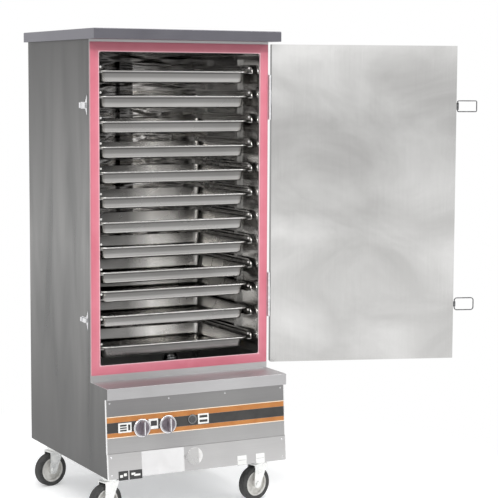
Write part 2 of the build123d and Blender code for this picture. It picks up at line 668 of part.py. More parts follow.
# One tray, drawn with the top of its rim at height zero, then placed on each level.
tray_middle_y = tray_front_y + tray_depth / 2
tub_half = tray_half_width - rim_width
tub_depth_half = tray_depth / 2 - rim_width
with BuildPart() as tray_hollow:
    with BuildSketch(Plane.XY.offset(1 - tray_height)):
        RectangleRounded(2 * tub_half - 16, 2 * tub_depth_half - 16, 21)
    with BuildSketch(Plane.XY):
        RectangleRounded(2 * tub_half - 2, 2 * tub_depth_half - 2, 25)
    loft()
    fillet(tray_hollow.edges().group_by(Axis.Z)[0], radius=8)
with BuildPart() as tray_master:
    with BuildSketch(Plane.XY.offset(-tray_height)):
        RectangleRounded(2 * tub_half - 14, 2 * tub_depth_half - 14, 22)
    with BuildSketch(Plane.XY):
        RectangleRounded(2 * tub_half, 2 * tub_depth_half, 26)
    loft()
    fillet(tray_master.edges().group_by(Axis.Z)[0], radius=9)
    add(tray_hollow.part, mode=Mode.SUBTRACT)
    with BuildSketch(Plane.XY.offset(-1)):
        RectangleRounded(2 * (tray_half_width - bead_radius), tray_depth - 2 * bead_radius, 34)
        RectangleRounded(2 * tub_half - 2, 2 * tub_depth_half - 2, 25, mode=Mode.SUBTRACT)
    extrude(amount=1)
    with BuildSketch(Plane.XY.offset(-bead_radius)) as bead_guide:
        RectangleRounded(2 * (tray_half_width - bead_radius), tray_depth - 2 * bead_radius, 34)
    bead_path = bead_guide.sketch.faces()[0].outer_wire()
    with BuildPart(mode=Mode.PRIVATE) as bead:
        with BuildSketch(Plane(origin=bead_path @ 0, z_dir=bead_path % 0)):
            Circle(bead_radius)
        sweep(path=bead_path)
    add(bead.part)
for level in range(tray_count):
    rod_z = top_rod_z - tray_pitch * level
    if level in trays_on_rods:
        rim_z = rod_z + rod_radius + 0.05 + 2 * bead_radius
    else:
        rim_z = rod_z - rim_below_rod
    tray_name = f"tray_{level + 1:02d}"
    with BuildPart() as tray:
        with Locations((0, tray_middle_y, rim_z)):
            add(tray_master.part)
    tray.part.label = tray_name
    export_step(tray.part, f"parts/{tray_name}.step")

# Casters: plate with bolts, race and kingpin fixed to the base; fork, hub and tyre for each corner.
caster_centres = ((-caster_x, caster_front_y), (caster_x, caster_front_y), (-caster_x, caster_rear_y),
                  (caster_x, caster_rear_y))
with BuildPart() as caster_plates:
    for plate_x, plate_y in caster_centres:
        block(plate_x - 47, plate_x + 47, plate_y - 52, plate_y + 52, base_z - 4, base_z)
        with Locations((plate_x, plate_y, base_z - 11.5)):
            Cylinder(30, 15)
        with Locations((plate_x, plate_y, base_z - 21)):
            Cylinder(6, 34)
        with Locations((plate_x, plate_y, 129)):
            Cylinder(10, 4)
        for bolt_x in (-37, 37):
            for bolt_y in (-41, 41):
                with BuildSketch(Plane.XY.offset(base_z - 9)):
                    with Locations((plate_x + bolt_x, plate_y + bolt_y)):
                        RegularPolygon(7, 6)
                extrude(amount=5)
caster_plates.part.label = "caster_plates"
export_step(caster_plates.part, "parts/caster_plates.step")

caster_names = ("front_left", "front_right", "rear_left", "rear_right")
trail_turn = radians(caster_turn)
trail_dir = Vector(cos(trail_turn), sin(trail_turn), 0)
axle_dir = Vector(-sin(trail_turn), cos(trail_turn), 0)
for (plate_x, plate_y), corner_name in zip(caster_centres, caster_names):
    swivel_plane = Plane(origin=(plate_x, plate_y, 0), x_dir=trail_dir, z_dir=(0, 0, 1))
    axle_origin = Vector(plate_x, plate_y, wheel_radius) + trail_dir * caster_trail
    axle_plane = Plane(origin=axle_origin, x_dir=trail_dir, z_dir=axle_dir * -1)
    with BuildPart() as caster_fork:
        with BuildSketch(swivel_plane.offset(131)):
            with Locations((4, 0)):
                RectangleRounded(64, 46, 10)
        extrude(amount=4)
        with Locations((plate_x, plate_y, 140)):
            Cylinder(27, 10.6)
        for leg_offset in (19.0, -23.0):
            with BuildSketch(axle_plane.offset(leg_offset)):
                with BuildLine():
                    Polyline((-46, 72.5), (12, 72.5), (15.5, 0), (-15.5, 0), close=True)
                make_face()
                Circle(15.5)
            extrude(amount=4)
        with BuildSketch(axle_plane.offset(-27)):
            Circle(6)
        extrude(amount=54)
        for head_offset in (23.0, -28.0):
            with BuildSketch(axle_plane.offset(head_offset)):
                RegularPolygon(10, 6)
            extrude(amount=5)
        with Locations((plate_x, plate_y, 140)):
            Cylinder(6.06, 40, mode=Mode.SUBTRACT)
    caster_fork.part.label = f"caster_fork_{corner_name}"
    export_step(caster_fork.part, f"parts/caster_fork_{corner_name}.step")

    with BuildPart() as caster_tyre:
        with BuildSketch(axle_plane.offset(-wheel_width / 2)):
            Circle(wheel_radius)
            Circle(46, mode=Mode.SUBTRACT)
        extrude(amount=wheel_width)
        fillet(caster_tyre.edges().filter_by(GeomType.CIRCLE).group_by(SortBy.RADIUS)[-1], radius=6)
    caster_tyre.part.label = f"caster_tyre_{corner_name}"
    export_step(caster_tyre.part, f"parts/caster_tyre_{corner_name}.step")

    with BuildPart() as caster_hub:
        with BuildSketch(axle_plane.offset(-14)):
            Circle(46)
        extrude(amount=28)
        with BuildSketch(axle_plane.offset(-18)):
            Circle(14)
        extrude(amount=36)
        for recess_offset in (4.0, -14.0):
            with BuildSketch(axle_plane.offset(recess_offset)):
                Circle(40)
                Circle(14, mode=Mode.SUBTRACT)
            extrude(amount=10, mode=Mode.SUBTRACT)
        with BuildSketch(axle_plane.offset(-20)):
            Circle(6.06)
        extrude(amount=40, mode=Mode.SUBTRACT)
    caster_hub.part.label = f"caster_hub_{corner_name}"
    export_step(caster_hub.part, f"parts/caster_hub_{corner_name}.step")
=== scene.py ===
import math

import bmesh
import bpy
from mathutils import Matrix, Vector


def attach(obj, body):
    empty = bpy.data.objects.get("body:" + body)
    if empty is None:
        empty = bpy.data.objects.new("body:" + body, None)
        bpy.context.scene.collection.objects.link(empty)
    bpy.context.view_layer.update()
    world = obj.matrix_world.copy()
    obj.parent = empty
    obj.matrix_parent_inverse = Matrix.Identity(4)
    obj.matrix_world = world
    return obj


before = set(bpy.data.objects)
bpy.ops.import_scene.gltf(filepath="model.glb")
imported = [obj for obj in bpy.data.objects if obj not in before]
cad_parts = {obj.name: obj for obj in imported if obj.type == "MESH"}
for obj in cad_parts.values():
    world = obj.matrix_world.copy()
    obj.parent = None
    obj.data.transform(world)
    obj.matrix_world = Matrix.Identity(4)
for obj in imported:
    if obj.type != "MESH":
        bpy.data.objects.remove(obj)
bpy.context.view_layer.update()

# The studio: one pale floor, a plain white world and three soft lamps.
# The camera stands at the left of the cabinet at chest height, as in the photograph.
CAMERA_PLACE = Vector((-2.48498, -5.53482, 1.52156))
CAMERA_YAW = math.radians(27.797)
CAMERA_PITCH = math.radians(5.776)
CAMERA_ROLL = math.radians(0.264)
CAMERA_LENS_MM = 117.72
FLOOR_SIZE = 30.0
FLOOR_COLOUR = (0.93, 0.93, 0.93, 1.0)
FLOOR_GLOW = 0.30
SHADOW_REACH = 0.85
PAPER_FADE = 1.6


def new_material(name):
    material = bpy.data.materials.new(name)
    material.use_nodes = True
    nodes = material.node_tree.nodes
    return material, nodes, material.node_tree.links, nodes["Principled BSDF"]


def white_when_seen(nodes, links, shader_socket, white_type, output, where=None):
    # The camera, polished metal and glass see plain white; other rays see the surface.
    path = nodes.new("ShaderNodeLightPath")
    polished = nodes.new("ShaderNodeMath")
    polished.operation = "MAXIMUM"
    links.new(path.outputs["Is Glossy Ray"], polished.inputs[0])
    links.new(path.outputs["Is Transmission Ray"], polished.inputs[1])
    seen = nodes.new("ShaderNodeMath")
    seen.operation = "MAXIMUM"
    links.new(path.outputs["Is Camera Ray"], seen.inputs[0])
    links.new(polished.outputs[0], seen.inputs[1])
    amount = seen.outputs[0]
    if where is not None:
        limited = nodes.new("ShaderNodeMath")
        limited.operation = "MULTIPLY"
        links.new(amount, limited.inputs[0])
        links.new(where, limited.inputs[1])
        amount = limited.outputs[0]
    white = nodes.new(white_type)
    white.inputs["Color"].default_value = (1, 1, 1, 1)
    white.inputs["Strength"].default_value = 1.0
    mix = nodes.new("ShaderNodeMixShader")
    links.new(amount, mix.inputs["Fac"])
    links.new(shader_socket, mix.inputs[1])
    links.new(white.outputs[0], mix.inputs[2])
    links.new(mix.outputs[0], output.inputs["Surface"])


floor_material, nodes, links, shader = new_material("studio_floor_paper")
floor_noise = nodes.new("ShaderNodeTexNoise")
floor_noise.inputs["Scale"].default_value = 3.0
floor_tone = nodes.new("ShaderNodeMapRange")
floor_tone.inputs["To Min"].default_value = 0.85
floor_tone.inputs["To Max"].default_value = 0.95
links.new(floor_noise.outputs["Fac"], floor_tone.inputs["Value"])
links.new(floor_tone.outputs["Result"], shader.inputs["Roughness"])
shader.inputs["Base Color"].default_value = FLOOR_COLOUR
shader.inputs["Specular IOR Level"].default_value = 0.0
shader.inputs["Emission Color"].default_value = (1, 1, 1, 1)
shader.inputs["Emission Strength"].default_value = FLOOR_GLOW
floor_place = nodes.new("ShaderNodeTexCoord")
floor_distance = nodes.new("ShaderNodeVectorMath")
floor_distance.operation = "LENGTH"
links.new(floor_place.outputs["Object"], floor_distance.inputs[0])
far_from_cabinet = nodes.new("ShaderNodeMapRange")
far_from_cabinet.interpolation_type = "SMOOTHSTEP"
far_from_cabinet.inputs["From Min"].default_value = SHADOW_REACH
far_from_cabinet.inputs["From Max"].default_value = PAPER_FADE
links.new(floor_distance.outputs["Value"], far_from_cabinet.inputs["Value"])
white_when_seen(nodes, links, shader.outputs[0], "ShaderNodeEmission", nodes["Material Output"],
                far_from_cabinet.outputs["Result"])
floor_mesh = bmesh.new()
bmesh.ops.create_grid(floor_mesh, x_segments=2, y_segments=2, size=FLOOR_SIZE / 2)
floor_data = bpy.data.meshes.new("studio_floor")
floor_mesh.to_mesh(floor_data)
floor_mesh.free()
floor = bpy.data.objects.new("studio_floor", floor_data)
floor.data.materials.append(floor_material)
bpy.context.scene.collection.objects.link(floor)

world = bpy.data.worlds.new("studio_world")
bpy.context.scene.world = world
world.use_nodes = True
background = world.node_tree.nodes["Background"]
background.inputs["Color"].default_value = (0.86, 0.87, 0.88, 1)
background.inputs["Strength"].default_value = 0.62
white_when_seen(world.node_tree.nodes, world.node_tree.links, background.outputs[0], "ShaderNodeBackground",
                world.node_tree.nodes["World Output"])


def soft_lamp(name, place, aim, width, height, watts):
    lamp = bpy.data.lights.new(name, "AREA")
    lamp.shape = "RECTANGLE"
    lamp.size = width
    lamp.size_y = height
    lamp.energy = watts
    holder = bpy.data.objects.new(name, lamp)
    holder.location = place
    holder.rotation_euler = (Vector(aim) - Vector(place)).to_track_quat("-Z", "Y").to_euler()
    bpy.context.scene.collection.objects.link(holder)


soft_lamp("lamp_front_left", (-2.4, -4.0, 4.4), (0, 0, 0.9), 2.4, 2.4, 150)
soft_lamp("lamp_front_right", (3.4, -3.4, 3.9), (0.3, 0, 0.9), 2.0, 2.4, 90)
soft_lamp("lamp_above", (0.4, -0.6, 4.8), (0.2, 0, 0.6), 3.0, 3.0, 110)

camera_data = bpy.data.cameras.new("photo_camera")
camera_data.lens = CAMERA_LENS_MM
camera_data.sensor_width = 36.0
camera = bpy.data.objects.new("photo_camera", camera_data)
look = Vector((math.sin(CAMERA_YAW) * math.cos(CAMERA_PITCH), math.cos(CAMERA_YAW) * math.cos(CAMERA_PITCH),
               -math.sin(CAMERA_PITCH)))
level = Vector((math.cos(CAMERA_YAW), -math.sin(CAMERA_YAW), 0))
upward = level.cross(look)
right = math.cos(CAMERA_ROLL) * level + math.sin(CAMERA_ROLL) * upward
above = math.cos(CAMERA_ROLL) * upward - math.sin(CAMERA_ROLL) * level
turned = Matrix((right, above, -look)).transposed().to_4x4()
camera.matrix_world = Matrix.Translation(CAMERA_PLACE) @ turned
bpy.context.scene.collection.objects.link(camera)
bpy.context.scene.camera = camera
bpy.context.scene.view_settings.view_transform = "Standard"


# The welded base frame of square tube, painted dark grey, and the galvanised deck on it.
# The paint is thick and a little uneven; edges and tops carry dust from the floor.
def surface_wear_group():
    # Broad cloudy patches and fine specks, for dirt, dust and uneven sheen.
    group = bpy.data.node_groups.new("surface_wear", "ShaderNodeTree")
    group.interface.new_socket("Vector", in_out="INPUT", socket_type="NodeSocketVector")
    group.interface.new_socket("Patch Size", in_out="INPUT", socket_type="NodeSocketFloat")
    group.interface.new_socket("Patches", in_out="OUTPUT", socket_type="NodeSocketFloat")
    group.interface.new_socket("Specks", in_out="OUTPUT", socket_type="NodeSocketFloat")
    start = group.nodes.new("NodeGroupInput")
    end = group.nodes.new("NodeGroupOutput")
    cloud = group.nodes.new("ShaderNodeTexNoise")
    cloud.inputs["Detail"].default_value = 5.0
    cloud.inputs["Distortion"].default_value = 0.6
    group.links.new(start.outputs["Vector"], cloud.inputs["Vector"])
    group.links.new(start.outputs["Patch Size"], cloud.inputs["Scale"])
    spread = group.nodes.new("ShaderNodeMapRange")
    spread.inputs["From Min"].default_value = 0.32
    spread.inputs["From Max"].default_value = 0.68
    group.links.new(cloud.outputs["Fac"], spread.inputs["Value"])
    group.links.new(spread.outputs["Result"], end.inputs["Patches"])
    fine = group.nodes.new("ShaderNodeTexNoise")
    fine.inputs["Scale"].default_value = 900.0
    fine.inputs["Detail"].default_value = 2.0
    group.links.new(start.outputs["Vector"], fine.inputs["Vector"])
    sparse = group.nodes.new("ShaderNodeMapRange")
    sparse.inputs["From Min"].default_value = 0.62
    sparse.inputs["From Max"].default_value = 0.72
    group.links.new(fine.outputs["Fac"], sparse.inputs["Value"])
    group.links.new(sparse.outputs["Result"], end.inputs["Specks"])
    return group


surface_wear = surface_wear_group()


def place_wear(nodes, links, patch_size):
    place = nodes.new("ShaderNodeTexCoord")
    wear = nodes.new("ShaderNodeGroup")
    wear.node_tree = surface_wear
    wear.inputs["Patch Size"].default_value = patch_size
    links.new(place.outputs["Object"], wear.inputs["Vector"])
    return place, wear


def blend_colours(nodes, links, mask, first, second):
    mix = nodes.new("ShaderNodeMix")
    mix.data_type = "RGBA"
    mix.inputs["A"].default_value = (*first, 1)
    mix.inputs["B"].default_value = (*second, 1)
    links.new(mask, mix.inputs["Factor"])
    return mix.outputs["Result"]


def spread_value(nodes, links, mask, low, high):
    spread = nodes.new("ShaderNodeMapRange")
    spread.inputs["To Min"].default_value = low
    spread.inputs["To Max"].default_value = high
    links.new(mask, spread.inputs["Value"])
    return spread.outputs["Result"]


def bump_from(nodes, links, height, distance, strength=1.0, under=None):
    bump = nodes.new("ShaderNodeBump")
    bump.inputs["Distance"].default_value = distance
    bump.inputs["Strength"].default_value = strength
    links.new(height, bump.inputs["Height"])
    if under is not None:
        links.new(under, bump.inputs["Normal"])
    return bump.outputs["Normal"]


def plain_finish(name, dark, light, rough_low, rough_high, patch_size, metallic=0.0, relief=0.0002):
    # Paint, plastic, rubber, foam and plated metal: two near tones in soft patches and fine specks.
    material, nodes, links, shader = new_material(name)
    place, wear = place_wear(nodes, links, patch_size)
    tone = blend_colours(nodes, links, wear.outputs["Patches"], dark, light)
    links.new(tone, shader.inputs["Base Color"])
    roughness = spread_value(nodes, links, wear.outputs["Patches"], rough_low, rough_high)
    links.new(roughness, shader.inputs["Roughness"])
    links.new(bump_from(nodes, links, wear.outputs["Specks"], relief, 0.5), shader.inputs["Normal"])
    shader.inputs["Metallic"].default_value = metallic
    return material


def dress(node_name, material):
    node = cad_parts[node_name]
    node.data.materials.clear()
    node.data.materials.append(material)


frame_paint = plain_finish("frame_paint", (0.09, 0.095, 0.10), (0.14, 0.145, 0.15), 0.42, 0.62, 9.0)
deck_zinc = plain_finish("deck_zinc", (0.48, 0.49, 0.50), (0.62, 0.63, 0.64), 0.38, 0.6, 30.0, metallic=0.9)
dress("base_frame", frame_paint)
dress("base_pan", deck_zinc)

# Four swivel casters: zinc-plated pressed plates and forks, each bolted under the deck.
# The hubs are pale cast nylon and the tyres black rubber, moulded with a fine side pattern.
caster_zinc = plain_finish("caster_zinc", (0.66, 0.67, 0.66), (0.84, 0.84, 0.82), 0.22, 0.42, 40.0,
                           metallic=0.85)
hub_nylon = plain_finish("hub_nylon", (0.52, 0.51, 0.48), (0.72, 0.71, 0.68), 0.35, 0.55, 45.0)
tyre_rubber = plain_finish("tyre_rubber", (0.018, 0.018, 0.018), (0.06, 0.06, 0.058), 0.55, 0.85, 60.0,
                           relief=0.0006)
CASTER_CORNERS = ("front_left", "front_right", "rear_left", "rear_right")
dress("caster_plates", caster_zinc)
for corner in CASTER_CORNERS:
    dress("caster_fork_" + corner, caster_zinc)
    dress("caster_hub_" + corner, hub_nylon)
    dress("caster_tyre_" + corner, tyre_rubber)

# The gas side: two cast iron bar burners, brass valves on a pipe, and brass feed tubes.
# Heat has left the iron brown and the brass near it dull.
burner_iron = plain_finish("burner_iron", (0.045, 0.038, 0.034), (0.11, 0.085, 0.07), 0.6, 0.9, 35.0,
                           relief=0.0008)
valve_brass = plain_finish("valve_brass", (0.42, 0.28, 0.10), (0.66, 0.48, 0.20), 0.25, 0.45, 50.0,
                           metallic=1.0)
dress("gas_burners", burner_iron)
dress("gas_manifold", valve_brass)


# Stainless sheet, used for the pan, the walls, the trays and the door. It is rolled with a fine grain
# along one direction, and thin sheet is never quite flat, so its reflections wave softly.
def rolled_grain_group():
    # Fine lines from stretched noise, and slow waves of the sheet.
    group = bpy.data.node_groups.new("rolled_grain", "ShaderNodeTree")
    group.interface.new_socket("Grain Vector", in_out="INPUT", socket_type="NodeSocketVector")
    group.interface.new_socket("Wave Vector", in_out="INPUT", socket_type="NodeSocketVector")
    group.interface.new_socket("Wave Size", in_out="INPUT", socket_type="NodeSocketFloat")
    group.interface.new_socket("Grain", in_out="OUTPUT", socket_type="NodeSocketFloat")
    group.interface.new_socket("Waves", in_out="OUTPUT", socket_type="NodeSocketFloat")
    start = group.nodes.new("NodeGroupInput")
    end = group.nodes.new("NodeGroupOutput")
    lines = group.nodes.new("ShaderNodeTexNoise")
    lines.inputs["Scale"].default_value = 1.0
    lines.inputs["Detail"].default_value = 4.0
    group.links.new(start.outputs["Grain Vector"], lines.inputs["Vector"])
    group.links.new(lines.outputs["Fac"], end.inputs["Grain"])
    swell = group.nodes.new("ShaderNodeTexNoise")
    swell.inputs["Detail"].default_value = 1.0
    group.links.new(start.outputs["Wave Vector"], swell.inputs["Vector"])
    group.links.new(start.outputs["Wave Size"], swell.inputs["Scale"])
    group.links.new(swell.outputs["Fac"], end.inputs["Waves"])
    return group


rolled_grain = rolled_grain_group()
ALONG_X = (6.0, 900.0, 900.0)
ALONG_Y = (900.0, 6.0, 900.0)
ALONG_Z = (900.0, 900.0, 6.0)
GRAIN_DEPTH = 0.00004


def shade_along(nodes, links, place, axis, stops, repeat=0.0):
    # A grey factor that follows the position along one axis, from (position in metres, factor) stops.
    # With a repeat it starts again after each such distance, measured downward from the first stop.
    split = nodes.new("ShaderNodeSeparateXYZ")
    links.new(place.outputs["Object"], split.inputs["Vector"])
    position = split.outputs[axis]
    first = stops[0][0]
    last = stops[-1][0]
    if repeat:
        below = nodes.new("ShaderNodeMath")
        below.operation = "SUBTRACT"
        below.inputs[0].default_value = first
        links.new(position, below.inputs[1])
        turn = nodes.new("ShaderNodeMath")
        turn.operation = "FLOORED_MODULO"
        turn.inputs[1].default_value = repeat
        links.new(below.outputs[0], turn.inputs[0])
        position = turn.outputs[0]
        stops = [(first - height, factor) for height, factor in stops]
        first = stops[0][0]
        last = stops[-1][0]
    share = nodes.new("ShaderNodeMapRange")
    share.inputs["From Min"].default_value = first
    share.inputs["From Max"].default_value = last
    links.new(position, share.inputs["Value"])
    ramp = nodes.new("ShaderNodeValToRGB")
    elements = ramp.color_ramp.elements
    for number, (height, factor) in enumerate(stops):
        spot = (height - first) / (last - first)
        if number in (0, len(stops) - 1):
            element = elements[0 if number == 0 else -1]
        else:
            element = elements.new(spot)
        element.color = (factor, factor, factor, 1)
    links.new(share.outputs["Result"], ramp.inputs["Fac"])
    return ramp.outputs["Color"]


def multiply_colours(nodes, links, first, second, amount=1.0):
    product = nodes.new("ShaderNodeMix")
    product.data_type = "RGBA"
    product.blend_type = "MULTIPLY"
    product.inputs["Factor"].default_value = amount
    links.new(first, product.inputs["A"])
    links.new(second, product.inputs["B"])
    return product.outputs["Result"]


def stainless(name, dark, light, rough_low, rough_high, grain, wave_size=3.0, wave_depth=0.004,
              streak=(1, 1, 1), painted_light=()):
    material, nodes, links, shader = new_material(name)
    place, wear = place_wear(nodes, links, 2.2)
    stretch = nodes.new("ShaderNodeMapping")
    stretch.inputs["Scale"].default_value = grain
    links.new(place.outputs["Object"], stretch.inputs["Vector"])
    slow = nodes.new("ShaderNodeMapping")
    slow.inputs["Scale"].default_value = streak
    links.new(place.outputs["Object"], slow.inputs["Vector"])
    links.new(slow.outputs["Vector"], wear.inputs["Vector"])
    sheet_grain = nodes.new("ShaderNodeGroup")
    sheet_grain.node_tree = rolled_grain
    sheet_grain.inputs["Wave Size"].default_value = wave_size
    links.new(stretch.outputs["Vector"], sheet_grain.inputs["Grain Vector"])
    links.new(slow.outputs["Vector"], sheet_grain.inputs["Wave Vector"])
    tone = blend_colours(nodes, links, wear.outputs["Patches"], dark, light)
    fine = spread_value(nodes, links, sheet_grain.outputs["Grain"], 0.75, 1.2)
    tone = multiply_colours(nodes, links, tone, fine, 0.35)
    # Painted light and shade: each entry makes the tone lighter or darker along one axis.
    for axis, stops, repeat in painted_light:
        tone = multiply_colours(nodes, links, tone, shade_along(nodes, links, place, axis, stops, repeat))
    links.new(tone, shader.inputs["Base Color"])
    roughness = spread_value(nodes, links, wear.outputs["Patches"], rough_low, rough_high)
    links.new(roughness, shader.inputs["Roughness"])
    waves = bump_from(nodes, links, sheet_grain.outputs["Waves"], wave_depth)
    grain_on_waves = bump_from(nodes, links, sheet_grain.outputs["Grain"], GRAIN_DEPTH, 0.6, waves)
    links.new(grain_on_waves, shader.inputs["Normal"])
    shader.inputs["Metallic"].default_value = 1.0
    return material


pan_steel = stainless("pan_steel", (0.30, 0.30, 0.30), (0.46, 0.46, 0.45), 0.25, 0.42, ALONG_X)
dress("water_pan", pan_steel)

# Float valve and drain: brass valve and pipe, a plated arm with a hollow ball, and a capped drain.
# The valve is screwed through the back of the pan, the drain is welded under it.
ball_plate = plain_finish("ball_plate", (0.60, 0.61, 0.62), (0.74, 0.75, 0.76), 0.12, 0.28, 30.0,
                          metallic=1.0)
pipe_steel = plain_finish("pipe_steel", (0.50, 0.50, 0.50), (0.62, 0.62, 0.62), 0.28, 0.45, 30.0,
                          metallic=1.0)
dress("float_valve", valve_brass)
dress("float_arm", ball_plate)
dress("drain_pipe", pipe_steel)

# Foam fill of the walls and the door: pale yellow rigid foam, hidden behind the steel. It is cut from
# flat board and held between the inner and the outer sheet.
wall_foam = plain_finish("wall_foam", (0.72, 0.62, 0.38), (0.82, 0.74, 0.50), 0.85, 0.95, 80.0,
                         relief=0.001)
dress("body_insulation", wall_foam)
dress("door_insulation", wall_foam)

# Chamber: walls and ceiling from one bent sheet, and a back wall with its upright channel, welded to them.
# Bright rolled stainless, wavy from steam; the walls carry a painted reflection of the open front:
# lighter at the mouth, darker toward the back.
chamber_steel = stainless("chamber_steel", (0.55, 0.545, 0.53), (0.76, 0.75, 0.73), 0.12, 0.26, ALONG_Z,
                          wave_size=5.0, wave_depth=0.010, streak=(1, 1, 2.5),
                          painted_light=(("Y", ((-0.30, 1.3), (-0.20, 1.2), (-0.12, 0.45), (0.26, 0.32)), 0.0),))
# Painted on the back wall: shade under the ceiling, and a painted reflection that is dark over the left half
# and the upright channel and bright to the right of it.
back_wall_steel = stainless("back_wall_steel", (0.80, 0.78, 0.76), (0.98, 0.96, 0.94), 0.12, 0.26, ALONG_X,
                            wave_size=6.0, wave_depth=0.012, streak=(1.2, 1, 6.0),
                            painted_light=(("Z", ((0.53, 1.0), (1.54, 1.0), (1.58, 0.40), (1.64, 0.35)), 0.0),
                                    ("X", ((-0.31, 0.35), (-0.03, 0.35), (0.0, 0.16), (0.045, 0.25),
                                           (0.06, 1.0), (0.31, 1.0)), 0.0)))
dress("chamber_shell", chamber_steel)
dress("chamber_back_wall", back_wall_steel)

# Tray racks: stainless uprights on the chamber walls, with angle runners that end in a round nose at the
# front and round guard rods above them, all spot-welded. They are painted darker behind the mouth, as
# painted shade.
rack_steel = stainless("rack_steel", (0.56, 0.55, 0.535), (0.90, 0.89, 0.87), 0.16, 0.30, ALONG_Y,
                       painted_light=(("Y", ((-0.27, 1.0), (-0.235, 1.0), (-0.20, 0.5), (0.19, 0.45)), 0.0),))
dress("tray_racks", rack_steel)

# Outer skin: side and back panels, burner box cheeks and cover, and the flange round the mouth.
# Stainless with its grain upright on the sides and level on the front; the sides show long soft streaks.
# Painted shade and light on the skin: darker toward the bottom and the top, lightest a little under a metre
# up, and a little lighter toward the front.
side_steel = stainless("side_steel", (0.165, 0.165, 0.162), (0.365, 0.36, 0.355), 0.26, 0.42, ALONG_Z,
                       wave_size=2.0, wave_depth=0.006, streak=(1, 2.6, 0.5),
                       painted_light=(("Z", ((0.16, 0.29), (0.5, 0.60), (0.95, 1.0), (1.3, 0.70),
                                      (1.67, 0.36)), 0.0),
                               ("Y", ((-0.31, 1.1), (0.3, 0.9)), 0.0)))
box_steel = stainless("box_steel", (0.47, 0.465, 0.465), (0.55, 0.545, 0.545), 0.28, 0.40, ALONG_X,
                      wave_size=3.0)
ledge_steel = stainless("ledge_steel", (0.43, 0.425, 0.43), (0.50, 0.495, 0.50), 0.44, 0.56, ALONG_X,
                        wave_size=3.0)
dress("outer_side_panels", side_steel)
dress("outer_back_panel", side_steel)
dress("base_cheeks", side_steel)
dress("base_ledge", ledge_steel)
dress("front_flange", box_steel)

# Door gasket: pink silicone moulded in one ring, pressed on the flange. Its inner and outer edges carry a
# painted highlight, and its top bar the painted shadow of the lid.
GASKET_INNER = (0.314, 0.548)
GASKET_MIDDLE_Z = 1.084
GASKET_WIDE = 0.034


def gasket_finish():
    # Two near pinks in soft patches; the two edges of the ring are painted paler as a painted highlight.
    material, nodes, links, shader = new_material("gasket_pink")
    place, wear = place_wear(nodes, links, 7.0)
    split = nodes.new("ShaderNodeSeparateXYZ")
    links.new(place.outputs["Object"], split.inputs["Vector"])
    gaps = []
    for axis, middle, half in (("X", 0.0, GASKET_INNER[0]), ("Z", GASKET_MIDDLE_Z, GASKET_INNER[1])):
        shifted = nodes.new("ShaderNodeMath")
        shifted.operation = "SUBTRACT"
        shifted.inputs[1].default_value = middle
        links.new(split.outputs[axis], shifted.inputs[0])
        distance = nodes.new("ShaderNodeMath")
        distance.operation = "ABSOLUTE"
        links.new(shifted.outputs[0], distance.inputs[0])
        past = nodes.new("ShaderNodeMath")
        past.operation = "SUBTRACT"
        past.inputs[1].default_value = half
        links.new(distance.outputs[0], past.inputs[0])
        gaps.append(past.outputs[0])
    across = nodes.new("ShaderNodeMath")
    across.operation = "MAXIMUM"
    links.new(gaps[0], across.inputs[0])
    links.new(gaps[1], across.inputs[1])
    # Painted highlight: pale at the inner edge and at the outer edge of the ring.
    ramp = nodes.new("ShaderNodeValToRGB")
    share = nodes.new("ShaderNodeMapRange")
    share.inputs["From Max"].default_value = GASKET_WIDE
    links.new(across.outputs[0], share.inputs["Value"])
    links.new(share.outputs["Result"], ramp.inputs["Fac"])
    elements = ramp.color_ramp.elements
    elements[0].color = (1, 1, 1, 1)
    elements[1].color = (0.55, 0.55, 0.55, 1)
    for spot, pale in ((0.06, 0.75), (0.10, 0.1), (0.5, 0.0), (0.90, 0.0), (0.95, 0.2)):
        elements.new(spot).color = (pale, pale, pale, 1)
    pink = blend_colours(nodes, links, wear.outputs["Patches"], (0.50, 0.125, 0.17), (0.56, 0.165, 0.215))
    edge_highlight = nodes.new("ShaderNodeMix")
    edge_highlight.data_type = "RGBA"
    edge_highlight.inputs["B"].default_value = (0.72, 0.46, 0.50, 1)
    links.new(ramp.outputs["Color"], edge_highlight.inputs["Factor"])
    links.new(pink, edge_highlight.inputs["A"])
    # Painted shadow of the lid over the top bar of the ring.
    lid_shadow = shade_along(nodes, links, place, "Z",
                            ((1.60, 1.0), (1.633, 0.98), (1.640, 0.76), (1.67, 0.74)))
    tone = multiply_colours(nodes, links, edge_highlight.outputs["Result"], lid_shadow)
    links.new(tone, shader.inputs["Base Color"])
    links.new(spread_value(nodes, links, wear.outputs["Patches"], 0.32, 0.5), shader.inputs["Roughness"])
    links.new(bump_from(nodes, links, wear.outputs["Specks"], 0.0003, 0.5), shader.inputs["Normal"])
    return material


dress("door_gasket", gasket_finish())


# The control panel slopes back a little; its finish is its own panel steel. The printed band on it has a
# black middle between two orange stripes, with fine pale edges, and is glued on as one foil.
def piece_from(bm, name, materials, body):
    # Turns a finished bmesh into a piece that rides on a body.
    bmesh.ops.recalc_face_normals(bm, faces=bm.faces)
    data = bpy.data.meshes.new(name)
    bm.to_mesh(data)
    bm.free()
    piece = bpy.data.objects.new(name, data)
    for material in materials:
        piece.data.materials.append(material)
    bpy.context.scene.collection.objects.link(piece)
    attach(piece, body)
    return piece


